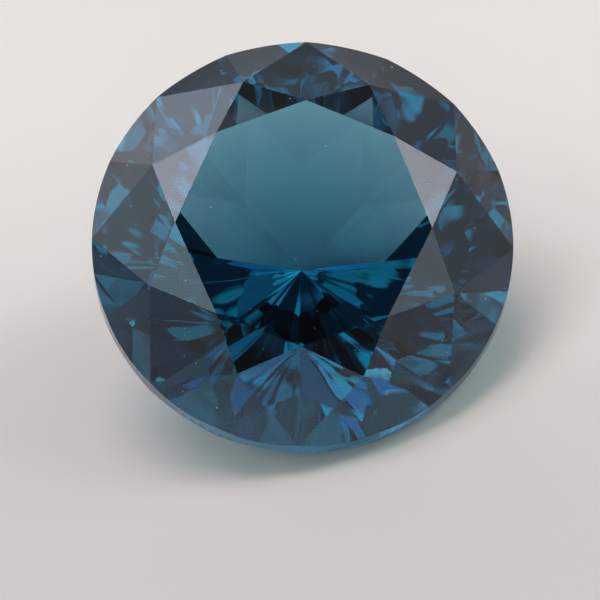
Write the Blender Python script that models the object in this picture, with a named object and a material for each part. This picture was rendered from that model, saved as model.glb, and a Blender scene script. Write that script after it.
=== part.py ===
"""A round brilliant-cut aquamarine, 8 mm across, lying on a flat of its pavilion.

The stone is ground the way a cutter grinds it. It starts as a round blank, and each facet is a
plane that takes away everything beyond it. It is cut upright on its own axis, with the table up
and the crown's edge of the girdle at z = 0, and is then tipped over onto one pavilion facet.

Azimuths run clockwise as seen from above the table. 0 points up the slope once the stone lies
down, and 180 is the side that it lies on.
"""

import math

import bmesh
import bpy
from mathutils import Matrix, Vector

MM = 0.001

# Girdle
RADIUS = 4.0 * MM
GIRDLE_HEIGHT = 0.52 * MM

# Crown: table, 8 stars, 8 bezels (kites) and 16 upper girdle facets
CROWN_HEIGHT = 1.33 * MM
TABLE_CORNER_RADIUS = 2.43 * MM
STAR_TIP_RADIUS = 3.12 * MM

# Pavilion: 8 mains from the culet and 16 slightly steeper lower girdle facets
MAIN_ANGLE = math.radians(38.5)
LOWER_MEET_RADIUS = 1.64 * MM
MAIN_TIP_RADIUS = 2.88 * MM

# The crown's kites stand over the ridges between the pavilion mains
FOLD = 8
STEP = 360.0 / FOLD
CROWN_TURN = STEP / 2

# Uneven cutting, by turn from the crown's top kite and mirrored left and right: how far table
# corners lie along their table edge from their regular place, and how far from the culet the
# lower girdle facets meet where they weren't ground to the regular depth
CORNER_SLIDE = {45: -0.05 * MM, 90: 0.04 * MM, 135: 0.14 * MM}
UNEVEN_MEET_RADIUS = {0: 1.86 * MM, 45: 1.54 * MM, 90: 1.58 * MM}

GIRDLE_SIDES = 128
SHARP_EDGE = math.radians(5)
ON_PLANE = 0.2e-6
WELD = 1.5e-6
BLANK_REACH = 8.0 * MM

# Finish, as seen: deep teal blue, glassy
STONE_COLOUR = (0.10, 0.32, 0.42, 1.0)
REFRACTIVE_INDEX = 1.577


def around(azimuth, radius, height):
    """A point on the upright stone, by azimuth in degrees, distance from the axis and height."""
    angle = math.radians(azimuth)
    return Vector((radius * math.sin(angle), radius * math.cos(angle), height))


def blank():
    """A round rod longer than the stone, on the stone's axis."""
    mesh = bmesh.new()
    bmesh.ops.create_cone(
        mesh,
        cap_ends=True,
        segments=GIRDLE_SIDES,
        radius1=RADIUS,
        radius2=RADIUS,
        depth=BLANK_REACH,
    )
    return mesh


def grind(stone, point, normal):
    """Take away everything beyond the plane and close the flat that it leaves."""
    cut = bmesh.ops.bisect_plane(
        stone,
        geom=stone.verts[:] + stone.edges[:] + stone.faces[:],
        dist=ON_PLANE,
        plane_co=point,
        plane_no=normal,
        clear_outer=True,
    )
    rim = [piece for piece in cut["geom_cut"] if isinstance(piece, bmesh.types.BMEdge)]
    bmesh.ops.edgeloop_fill(stone, edges=[edge for edge in rim if edge.is_boundary])


def grind_through(stone, first, second, third):
    """Grind the plane through three points, facing away from the stone's middle."""
    normal = (second - first).cross(third - first).normalized()
    if normal.dot(first - Vector((0, 0, -GIRDLE_HEIGHT / 2))) < 0:
        normal = -normal
    grind(stone, first, normal)


def table_corner(turn):
    """A corner of the table, over the kite that is turned this far from the crown's top kite."""
    corner = around(CROWN_TURN + turn, TABLE_CORNER_RADIUS, CROWN_HEIGHT)
    side = 1 if turn < 180 else -1
    slide = CORNER_SLIDE.get(min(turn, 360 - turn), 0.0)
    clockwise = around(CROWN_TURN + turn + 90, side * slide, 0.0)
    return corner + clockwise


def cut_crown(stone):
    """Table, bezels, upper girdle facets and stars, in that order."""
    bezel_slope = CROWN_HEIGHT / (RADIUS - TABLE_CORNER_RADIUS)
    tip_height = bezel_slope * (RADIUS - STAR_TIP_RADIUS * math.cos(math.radians(STEP / 2)))
    grind(stone, Vector((0, 0, CROWN_HEIGHT)), Vector((0, 0, 1)))
    turns = [STEP * k for k in range(FOLD)]
    for turn in turns:
        kite = CROWN_TURN + turn
        grind(stone, around(kite, RADIUS, 0), around(kite, bezel_slope, 1).normalized())
    for turn in turns:
        kite = CROWN_TURN + turn
        for ridge in (kite - STEP / 2, kite + STEP / 2):
            star_tip = around(ridge, STAR_TIP_RADIUS, tip_height)
            grind_through(stone, star_tip, around(kite, RADIUS, 0), around(ridge, RADIUS, 0))
    for turn in turns:
        star_tip = around(CROWN_TURN + turn + STEP / 2, STAR_TIP_RADIUS, tip_height)
        grind_through(stone, star_tip, table_corner(turn), table_corner((turn + STEP) % 360))


def cut_pavilion(stone):
    """Mains to the culet, then the lower girdle facets, two beside each ridge between mains."""
    half = math.cos(math.radians(STEP / 2))
    quarter = math.cos(math.radians(STEP / 4))
    main_slope = math.tan(MAIN_ANGLE)
    run = quarter * (MAIN_TIP_RADIUS - LOWER_MEET_RADIUS)
    lower_slope = main_slope * (MAIN_TIP_RADIUS - LOWER_MEET_RADIUS * half) / run
    main_tip_height = -GIRDLE_HEIGHT - lower_slope * quarter * (RADIUS - MAIN_TIP_RADIUS)
    culet = Vector((0, 0, main_tip_height - main_slope * MAIN_TIP_RADIUS))
    for k in range(FOLD):
        grind(stone, culet, around(STEP * k, math.sin(MAIN_ANGLE), -math.cos(MAIN_ANGLE)))
    for k in range(FOLD):
        main = STEP * k
        main_tip = around(main, MAIN_TIP_RADIUS, main_tip_height)
        for ridge in (main - STEP / 2, main + STEP / 2):
            turn = (ridge - CROWN_TURN) % 360
            radius = UNEVEN_MEET_RADIUS.get(min(turn, 360 - turn), LOWER_MEET_RADIUS)
            meet = around(ridge, radius, culet.z + main_slope * half * radius)
            grind_through(stone, meet, main_tip, around(ridge, RADIUS, -GIRDLE_HEIGHT))


def lay_down(stone):
    """Tip the upright stone onto the main at azimuth 180, and centre it on the floor."""
    stone.transform(Matrix.Rotation(MAIN_ANGLE, 4, "X"))
    low = Vector(min(vert.co[axis] for vert in stone.verts) for axis in range(3))
    high = Vector(max(vert.co[axis] for vert in stone.verts) for axis in range(3))
    foot = Vector(((low.x + high.x) / 2, (low.y + high.y) / 2, low.z))
    stone.transform(Matrix.Translation(-foot))


def crystal_material():
    """Clear blue crystal with a glass-bright polish."""
    material = bpy.data.materials.new("aquamarine_crystal")
    material.use_nodes = True
    shader = material.node_tree.nodes["Principled BSDF"]
    shader.inputs["Base Color"].default_value = STONE_COLOUR
    shader.inputs["Metallic"].default_value = 0.0
    shader.inputs["Roughness"].default_value = 0.01
    shader.inputs["IOR"].default_value = REFRACTIVE_INDEX
    shader.inputs["Transmission Weight"].default_value = 1.0
    return material


def build_stone():
    """The whole stone as one named object, with flat facets and a smooth round girdle."""
    stone = blank()
    cut_crown(stone)
    cut_pavilion(stone)
    bmesh.ops.remove_doubles(stone, verts=stone.verts[:], dist=WELD)
    bmesh.ops.recalc_face_normals(stone, faces=stone.faces[:])
    lay_down(stone)
    mesh = bpy.data.meshes.new("aquamarine")
    stone.to_mesh(mesh)
    stone.free()
    mesh.shade_smooth()
    mesh.set_sharp_from_angle(angle=SHARP_EDGE)
    mesh.materials.append(crystal_material())
    piece = bpy.data.objects.new("aquamarine", mesh)
    bpy.context.scene.collection.objects.link(piece)
    return piece


for old in list(bpy.data.objects):
    bpy.data.objects.remove(old, do_unlink=True)
build_stone()
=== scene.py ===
"""Looks for the aquamarine: clear teal crystal, a little dust, a pale floor and soft studio light."""

import math
import random

import bmesh
import bpy
from mathutils import Matrix, Vector
from mathutils.bvhtree import BVHTree


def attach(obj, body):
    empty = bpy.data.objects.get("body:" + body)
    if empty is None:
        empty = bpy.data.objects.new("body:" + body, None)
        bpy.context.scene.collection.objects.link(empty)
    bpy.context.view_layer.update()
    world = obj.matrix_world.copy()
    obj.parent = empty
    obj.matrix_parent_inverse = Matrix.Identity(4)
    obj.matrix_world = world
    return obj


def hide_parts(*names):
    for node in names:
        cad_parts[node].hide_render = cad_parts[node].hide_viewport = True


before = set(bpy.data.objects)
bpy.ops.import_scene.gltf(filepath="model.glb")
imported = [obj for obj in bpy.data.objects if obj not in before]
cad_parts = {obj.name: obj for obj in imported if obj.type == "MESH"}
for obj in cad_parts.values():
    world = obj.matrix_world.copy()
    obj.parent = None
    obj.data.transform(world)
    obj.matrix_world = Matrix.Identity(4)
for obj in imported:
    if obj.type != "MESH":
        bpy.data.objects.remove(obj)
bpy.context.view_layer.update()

MM = 0.001
PICTURE = 600

# Camera: a very long lens, looking at the stone as the photograph does, with the horizon rolled
CAMERA_AZIMUTH = math.radians(-8.33)
CAMERA_ELEVATION = math.radians(36.08)
CAMERA_ROLL = math.radians(-15.46)
LENS = 1000.0
SENSOR = 36.0
FRAME_WIDTH = 11.383 * MM
CLIP_END = 100.0
GIRDLE_CENTRE = Vector((0.0, -0.159, 2.967)) * MM
GIRDLE_CENTRE_RIGHT = 0.050 * MM
GIRDLE_CENTRE_UP = 1.079 * MM

# Crystal. The fan is on the pavilion only and fades in below the girdle, on the upright stone
LEAN = math.radians(38.5)
REFRACTIVE_INDEX = 1.577
ABSORPTION_DENSITY = 620.0
ABSORPTION_COLOUR = (0.0, 0.508, 0.640, 1.0)
ROUND_GIRDLE = math.radians(4)
WELD = 1e-6
WAVE_SCALE = 500.0
WAVE_HEIGHT = 0.04 * MM
WAVE_DETAIL = 1.0
WAVE_DETAIL_STRENGTH = 0.4
FAN_COUNT = 6.0
FAN_ALONG = 150.0
FAN_SLOPE = 0.006
FAN_TOP = -0.55 * MM
FAN_FULL = -0.80 * MM
SMUDGE_SCALE = 450.0
SMUDGE_DETAIL = 3.0
SMUDGE_DETAIL_STRENGTH = 0.55
SMUDGE_SPAN = (0.45, 0.70)
POLISH_ROUGHNESS = 0.0
SMUDGE_ROUGHNESS = 0.012

# Dust on the crown: specks seen in the photograph, by pixel, and others strewn about
DUST_SEEN = (
    (291, 92), (318, 131), (325, 97), (317, 311), (316, 345), (442, 341), (447, 352), (355, 350),
)
DUST_STREWN = 46
DUST_SEED = 7
DUST_RADIUS = (0.005 * MM, 0.011 * MM)
DUST_FLATNESS = 0.45
DUST_STRETCH = (0.7, 1.5)
DUST_LIFT = 0.8
DUST_UNEVENNESS = 0.18
DUST_SLOPE = 0.2
DUST_CAST = 50 * MM
DUST_DARK = (0.42, 0.47, 0.50, 1)
DUST_LIGHT = (0.72, 0.75, 0.76, 1)
DUST_ROUGHNESS = 0.9
DUST_GRAIN_SCALE = 60000.0
DUST_GRAIN_DETAIL = 2.0
DUST_GRAIN_SPAN = (0.35, 0.65)

# Floor, with painted light and shade: its colour is paler behind, along the picture's own up direction,
# and darker far in front, outside the picture, where the light would fall off. It is turned so that
# neither change slants across the picture.
FLOOR_FAR_PAINTED_SHADE = (0.40, 0.36, 0.37, 1.0)
FLOOR_FRONT = (0.620, 0.555, 0.578, 1.0)
FLOOR_BACK_PAINTED_LIGHT = (0.790, 0.716, 0.728, 1.0)
FLOOR_TURN = (-6.7 * MM, 8.3 * MM)
FLOOR_FAR_TURN = (-26 * MM, -7.5 * MM)
FLOOR_REACH = 20.0
FLOOR_ROTATION = math.radians(-33.5)
FLOOR_GAP = 0.005 * MM
FLOOR_ROUGHNESS = 0.6
FLOOR_SPECULAR = 0.2

# The room round the stone, paler towards the horizon
ROOM = (0.21, 0.22, 0.23)
ROOM_LOW = (0.69, 0.70, 0.72)
ROOM_TURN = math.radians(25)

# Softboxes, reflectors and dark flags, each a round patch with a soft edge: azimuth, elevation,
# half angle and edge in degrees, radiance. A later patch covers an earlier one.
PATCHES = (
    # Overhead, and warm
    (0, 84, 16, 5, (4.9, 4.0, 3.7)),
    # In front and at both sides: these light the inside, and their green tint keeps it teal
    (-124, 69, 5.5, 1.5, (3.2, 4.9, 3.6)),
    (-159, 47, 4.7, 1.5, (1.9, 2.8, 2.1)),
    (176, 50, 5.5, 1.5, (1.72, 2.53, 1.85)),
    (-171, 26, 7, 1.5, (2.26, 3.33, 2.44)),
    (-122, 50, 5, 1.5, (3.82, 5.63, 4.12)),
    (-142, 37, 6.5, 1.5, (1.6, 2.3, 1.8)),
    (180, 62, 6, 1.5, (0.40, 0.60, 0.50)),
    (-163, 63, 3, 1.5, (1.5, 2.2, 1.9)),
    (140.5, 31, 4.3, 1.5, (3.8, 5.6, 4.3)),
    (142, 62, 5.5, 1.5, (2.5, 3.7, 2.9)),
    (159, 34, 4.7, 1.5, (1.40, 2.07, 1.51)),
    (-98, 54.5, 5.8, 1.5, (3.0, 4.4, 3.4)),
    (126, 33.5, 4.5, 1.5, (1.2, 1.8, 1.6)),
    (100, 27.5, 8, 1.5, (1.72, 2.53, 1.85)),
    (113, 48.5, 7, 1.5, (4.6, 6.6, 5.0)),
    # Left and right softboxes, seen in the stars beside the table
    (104, 38, 7.5, 3, (4.9, 5.0, 5.5)),
    (-60, 66, 7, 3, (4.9, 5.3, 6.0)),
    # Paler walls and cards behind, seen in the upper crown facets
    (-14, 34.5, 5.5, 3, (2.1, 2.4, 2.8)),
    (-42, 23, 9, 5, (1.3, 1.4, 1.5)),
    (-63, 31, 7, 4, (1.2, 1.4, 1.5)),
    (-20, 22, 6, 4, (1.5, 1.5, 1.6)),
    (138, 25, 8, 4, (1.4, 1.6, 1.7)),
    (-115, 47, 6, 3, (1.7, 2.4, 2.8)),
    (15, 18, 14, 6, (0.62, 0.72, 0.82)),
    (30, 33, 8, 4, (0.40, 0.45, 0.48)),
    (62, 17, 7, 4, (0.48, 0.50, 0.53)),
    # Dark flags and one dim card, seen in the table and the stars and from inside
    (163, 66, 7, 3, (0.03, 0.03, 0.03)),
    (157, 53, 5, 3, (1.1, 1.2, 1.2)),
    (-150.6, 26.5, 4, 2, (0.08, 0.08, 0.08)),
    (174.5, 17.8, 4, 2, (0.08, 0.08, 0.08)),
    (177, 54, 6, 2, (0.15, 0.15, 0.15)),
)

# How often light may turn inside the stone, and in all
STONE_BOUNCES = 16
ALL_BOUNCES = 24


def direction(azimuth, elevation):
    """The direction of a place round the stone. Azimuth 0 is behind it and 90 to its right."""
    a, e = math.radians(azimuth), math.radians(elevation)
    return Vector((math.sin(a) * math.cos(e), math.cos(a) * math.cos(e), math.sin(e)))


def camera_axes():
    """The camera's right, up and back directions."""
    a, e = CAMERA_AZIMUTH, CAMERA_ELEVATION
    back = Vector((math.sin(a) * math.cos(e), -math.cos(a) * math.cos(e), math.sin(e)))
    right = Vector((0, 0, 1)).cross(back).normalized()
    roll = Matrix.Rotation(CAMERA_ROLL, 3, back)
    right = roll @ right
    return right, back.cross(right), back


def picture_centre():
    """The point that the camera looks at: the girdle's centre falls where the photograph has it."""
    right, up, back = camera_axes()
    return GIRDLE_CENTRE - right * GIRDLE_CENTRE_RIGHT - up * GIRDLE_CENTRE_UP


def make_camera():
    right, up, back = camera_axes()
    data = bpy.data.cameras.new("camera")
    data.lens = LENS
    data.sensor_width = SENSOR
    distance = FRAME_WIDTH * LENS / SENSOR
    data.clip_start = distance / 50
    data.clip_end = CLIP_END
    camera = bpy.data.objects.new("camera", data)
    camera.matrix_world = Matrix.Translation(picture_centre() + back * distance) @ Matrix(
        (right, up, back)
    ).transposed().to_4x4()
    bpy.context.scene.collection.objects.link(camera)
    bpy.context.scene.camera = camera


def node(tree, kind, **values):
    """A new node with its settings and unlinked inputs; an input's name has _ for each space."""
    made = tree.nodes.new(kind)
    for key, value in values.items():
        if hasattr(made, key):
            setattr(made, key, value)
        else:
            made.inputs[key.replace("_", " ")].default_value = value
    return made


def polish_normal(tree, place):
    """The hand polish: facets a little wavy, and the pavilion's with a fan of faint ridges too."""
    link = tree.links.new
    wave = node(tree, "ShaderNodeTexNoise", Scale=WAVE_SCALE, Detail=WAVE_DETAIL)
    wave.inputs["Roughness"].default_value = WAVE_DETAIL_STRENGTH
    link(place, wave.inputs["Vector"])
    wavy = node(tree, "ShaderNodeBump", Strength=1.0, Distance=WAVE_HEIGHT)
    link(wave.outputs["Fac"], wavy.inputs["Height"])
    upright = node(tree, "ShaderNodeVectorRotate", rotation_type="X_AXIS")
    upright.inputs["Center"].default_value = GIRDLE_CENTRE
    upright.inputs["Angle"].default_value = -LEAN
    link(place, upright.inputs["Vector"])
    offset = node(tree, "ShaderNodeVectorMath", operation="SUBTRACT")
    offset.inputs[1].default_value = GIRDLE_CENTRE
    link(upright.outputs["Vector"], offset.inputs[0])
    split = node(tree, "ShaderNodeSeparateXYZ")
    link(offset.outputs["Vector"], split.inputs[0])
    flat = node(tree, "ShaderNodeCombineXYZ")
    link(split.outputs["X"], flat.inputs["X"])
    link(split.outputs["Y"], flat.inputs["Y"])
    spoke = node(tree, "ShaderNodeVectorMath", operation="NORMALIZE")
    link(flat.outputs["Vector"], spoke.inputs[0])
    fan_way = node(tree, "ShaderNodeVectorMath", operation="SCALE")
    link(spoke.outputs["Vector"], fan_way.inputs[0])
    fan_way.inputs["Scale"].default_value = FAN_COUNT
    along = node(tree, "ShaderNodeVectorMath", operation="SCALE")
    link(flat.outputs["Vector"], along.inputs[0])
    along.inputs["Scale"].default_value = FAN_ALONG
    fan_place = node(tree, "ShaderNodeVectorMath", operation="ADD")
    link(fan_way.outputs["Vector"], fan_place.inputs[0])
    link(along.outputs["Vector"], fan_place.inputs[1])
    fan = node(tree, "ShaderNodeTexNoise", Scale=1.0, Detail=0.0)
    link(fan_place.outputs["Vector"], fan.inputs["Vector"])
    pavilion = node(tree, "ShaderNodeMapRange")
    pavilion.inputs["From Min"].default_value = FAN_TOP
    pavilion.inputs["From Max"].default_value = FAN_FULL
    link(split.outputs["Z"], pavilion.inputs["Value"])
    reach = node(tree, "ShaderNodeVectorMath", operation="LENGTH")
    link(flat.outputs["Vector"], reach.inputs[0])
    growing = node(tree, "ShaderNodeMath", operation="MULTIPLY")
    link(fan.outputs["Fac"], growing.inputs[0])
    link(reach.outputs["Value"], growing.inputs[1])
    fanned = node(tree, "ShaderNodeBump", Distance=FAN_SLOPE)
    link(pavilion.outputs["Result"], fanned.inputs["Strength"])
    link(growing.outputs["Value"], fanned.inputs["Height"])
    link(wavy.outputs["Normal"], fanned.inputs["Normal"])
    return fanned.outputs["Normal"]


def crystal_material():
    """Clear polished crystal that takes its blue from the light's way through it."""
    material = bpy.data.materials.new("crystal")
    material.use_nodes = True
    tree = material.node_tree
    link = tree.links.new
    shader = tree.nodes["Principled BSDF"]
    shader.inputs["Base Color"].default_value = (1, 1, 1, 1)
    shader.inputs["IOR"].default_value = REFRACTIVE_INDEX
    shader.inputs["Transmission Weight"].default_value = 1.0
    place = node(tree, "ShaderNodeTexCoord")
    link(polish_normal(tree, place.outputs["Object"]), shader.inputs["Normal"])
    # Smudges: the polish is a little duller in soft blotches
    smudge = node(tree, "ShaderNodeTexNoise", Scale=SMUDGE_SCALE, Detail=SMUDGE_DETAIL)
    smudge.inputs["Roughness"].default_value = SMUDGE_DETAIL_STRENGTH
    link(place.outputs["Object"], smudge.inputs["Vector"])
    dull = node(tree, "ShaderNodeMapRange", interpolation_type="SMOOTHSTEP")
    dull.inputs["From Min"].default_value = SMUDGE_SPAN[0]
    dull.inputs["From Max"].default_value = SMUDGE_SPAN[1]
    dull.inputs["To Min"].default_value = POLISH_ROUGHNESS
    dull.inputs["To Max"].default_value = SMUDGE_ROUGHNESS
    link(smudge.outputs["Fac"], dull.inputs["Value"])
    link(dull.outputs["Result"], shader.inputs["Roughness"])
    absorption = node(tree, "ShaderNodeVolumeAbsorption")
    absorption.inputs["Color"].default_value = ABSORPTION_COLOUR
    absorption.inputs["Density"].default_value = ABSORPTION_DENSITY
    link(absorption.outputs["Volume"], tree.nodes["Material Output"].inputs["Volume"])
    return material


def make_stone(cad):
    """A copy of the solid with flat facets, and smooth shading round the girdle."""
    mesh = bmesh.new()
    mesh.from_mesh(cad.data)
    bmesh.ops.remove_doubles(mesh, verts=mesh.verts[:], dist=WELD)
    data = bpy.data.meshes.new("stone")
    mesh.to_mesh(data)
    mesh.free()
    data.shade_smooth()
    data.set_sharp_from_angle(angle=ROUND_GIRDLE)
    data.materials.clear()
    data.materials.append(crystal_material())
    stone = bpy.data.objects.new("stone", data)
    bpy.context.scene.collection.objects.link(stone)
    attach(stone, "root")
    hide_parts("aquamarine")
    return stone


def dust_material():
    material = bpy.data.materials.new("dust")
    material.use_nodes = True
    tree = material.node_tree
    shader = tree.nodes["Principled BSDF"]
    shader.inputs["Roughness"].default_value = DUST_ROUGHNESS
    place = node(tree, "ShaderNodeTexCoord")
    grain = node(tree, "ShaderNodeTexNoise", Scale=DUST_GRAIN_SCALE, Detail=DUST_GRAIN_DETAIL)
    tone = node(tree, "ShaderNodeValToRGB")
    tone.color_ramp.elements[0].position = DUST_GRAIN_SPAN[0]
    tone.color_ramp.elements[0].color = DUST_DARK
    tone.color_ramp.elements[1].position = DUST_GRAIN_SPAN[1]
    tone.color_ramp.elements[1].color = DUST_LIGHT
    tree.links.new(place.outputs["Object"], grain.inputs["Vector"])
    tree.links.new(grain.outputs["Fac"], tone.inputs["Fac"])
    tree.links.new(tone.outputs["Color"], shader.inputs["Base Color"])
    return material


def seen_spots(stone):
    """Where the specks seen in the photograph lie on the stone, each with the facet's normal."""
    right, up, back = camera_axes()
    tree = BVHTree.FromPolygons(
        [vertex.co for vertex in stone.data.vertices],
        [polygon.vertices for polygon in stone.data.polygons],
    )
    pixel = FRAME_WIDTH / PICTURE
    spots = []
    for x, y in DUST_SEEN:
        start = picture_centre() + right * (x - PICTURE / 2) * pixel - up * (y - PICTURE / 2) * pixel
        point, normal, _, _ = tree.ray_cast(start + back * DUST_CAST, -back)
        if point is not None:
            spots.append((point, normal))
    return spots


def strewn_spots(stone, draw):
    """Random spots on the facets that face up, where dust settles."""
    faces = []
    weights = []
    for polygon in stone.data.polygons:
        if polygon.normal.z > DUST_SLOPE:
            a, b, c = (stone.data.vertices[index].co for index in polygon.vertices[:3])
            faces.append((a, b, c, polygon.normal))
            weights.append((b - a).cross(c - a).length * polygon.normal.z)
    spots = []
    for a, b, c, normal in draw.choices(faces, weights=weights, k=DUST_STREWN):
        u, v = sorted((draw.random(), draw.random()))
        spots.append((a * u + b * (v - u) + c * (1 - v), normal.copy()))
    return spots


def make_dust(stone):
    """Tiny uneven flakes lying on the crown."""
    draw = random.Random(DUST_SEED)
    mesh = bmesh.new()
    for point, normal in seen_spots(stone) + strewn_spots(stone, draw):
        radius = draw.uniform(*DUST_RADIUS)
        turn = Matrix.Rotation(draw.uniform(0, math.tau), 4, "Z")
        stretch = Matrix.Diagonal((draw.uniform(*DUST_STRETCH), 1.0, DUST_FLATNESS, 1.0))
        tilt = normal.to_track_quat("Z", "Y").to_matrix().to_4x4()
        base = point + normal * radius * DUST_FLATNESS * DUST_LIFT
        flake = bmesh.ops.create_icosphere(
            mesh, subdivisions=1, radius=radius, matrix=Matrix.Translation(base) @ tilt @ turn @ stretch
        )
        for vertex in flake["verts"]:
            vertex.co += Vector(draw.uniform(-1, 1) for _ in range(3)) * radius * DUST_UNEVENNESS
    data = bpy.data.meshes.new("dust")
    mesh.to_mesh(data)
    mesh.free()
    data.materials.append(dust_material())
    dust = bpy.data.objects.new("dust", data)
    bpy.context.scene.collection.objects.link(dust)
    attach(dust, "root")


def floor_material():
    """Matt and pale, with two soft steps of painted light and shade along the floor."""
    material = bpy.data.materials.new("floor")
    material.use_nodes = True
    tree = material.node_tree
    shader = tree.nodes["Principled BSDF"]
    shader.inputs["Roughness"].default_value = FLOOR_ROUGHNESS
    shader.inputs["Specular IOR Level"].default_value = FLOOR_SPECULAR
    place = node(tree, "ShaderNodeTexCoord")
    split = node(tree, "ShaderNodeSeparateXYZ")
    tree.links.new(place.outputs["Object"], split.inputs[0])
    colour = None
    for (start, end), before, after in (
        (FLOOR_FAR_TURN, FLOOR_FAR_PAINTED_SHADE, FLOOR_FRONT),
        (FLOOR_TURN, None, FLOOR_BACK_PAINTED_LIGHT),
    ):
        # Each step blends towards a painted shade in front or a painted light behind
        painted_falloff = node(tree, "ShaderNodeMapRange", interpolation_type="SMOOTHSTEP")
        painted_falloff.inputs["From Min"].default_value = start
        painted_falloff.inputs["From Max"].default_value = end
        tree.links.new(split.outputs["Y"], painted_falloff.inputs["Value"])
        tone = node(tree, "ShaderNodeMix", data_type="RGBA")
        tree.links.new(painted_falloff.outputs["Result"], tone.inputs["Factor"])
        if before is None:
            tree.links.new(colour, tone.inputs["A"])
        else:
            tone.inputs["A"].default_value = before
        tone.inputs["B"].default_value = after
        colour = tone.outputs["Result"]
    tree.links.new(colour, shader.inputs["Base Color"])
    return material


def make_floor():
    """A plain floor, a hair below the stone's resting facet, so that the two aren't in one plane."""
    mesh = bpy.data.meshes.new("floor")
    r = FLOOR_REACH
    z = -FLOOR_GAP
    mesh.from_pydata([(-r, -r, z), (r, -r, z), (r, r, z), (-r, r, z)], [], [(0, 1, 2, 3)])
    mesh.materials.append(floor_material())
    floor = bpy.data.objects.new("floor", mesh)
    bpy.context.scene.collection.objects.link(floor)
    floor.rotation_euler.z = FLOOR_ROTATION


def add_patch(tree, facing, under, azimuth, elevation, half_angle, edge, radiance):
    """Lay a soft-edged round patch over the room's colour and return the result."""
    towards = node(tree, "ShaderNodeVectorMath", operation="DOT_PRODUCT")
    tree.links.new(facing, towards.inputs[0])
    towards.inputs[1].default_value = direction(azimuth, elevation)
    cover = node(tree, "ShaderNodeMapRange", interpolation_type="SMOOTHSTEP")
    cover.inputs["From Min"].default_value = math.cos(math.radians(half_angle + edge))
    cover.inputs["From Max"].default_value = math.cos(math.radians(max(half_angle - edge, 0.0)))
    tree.links.new(towards.outputs["Value"], cover.inputs["Value"])
    laid = node(tree, "ShaderNodeMix", data_type="RGBA")
    tree.links.new(cover.outputs["Result"], laid.inputs["Factor"])
    tree.links.new(under, laid.inputs["A"])
    laid.inputs["B"].default_value = (*radiance, 1)
    return laid.outputs["Result"]


def make_world():
    """The studio as the stone sees it: a pale room with softboxes and dark flags in it."""
    world = bpy.data.worlds.new("studio")
    world.use_nodes = True
    tree = world.node_tree
    place = node(tree, "ShaderNodeTexCoord")
    facing = place.outputs["Generated"]
    split = node(tree, "ShaderNodeSeparateXYZ")
    tree.links.new(facing, split.inputs[0])
    ramp = node(tree, "ShaderNodeValToRGB")
    tree.links.new(split.outputs["Z"], ramp.inputs[0])
    low, high = ramp.color_ramp.elements
    low.position = 0.0
    low.color = (*ROOM_LOW, 1)
    high.position = math.sin(ROOM_TURN)
    high.color = (*ROOM, 1)
    colour = ramp.outputs["Color"]
    for patch in PATCHES:
        colour = add_patch(tree, facing, colour, *patch)
    tree.links.new(colour, tree.nodes["Background"].inputs["Color"])
    bpy.context.scene.world = world


make_camera()
make_floor()
make_world()
stone = make_stone(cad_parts["aquamarine"])
make_dust(stone)

scene = bpy.context.scene
scene.view_settings.view_transform = "Standard"
scene.cycles.glossy_bounces = STONE_BOUNCES
scene.cycles.transmission_bounces = STONE_BOUNCES
scene.cycles.max_bounces = ALL_BOUNCES
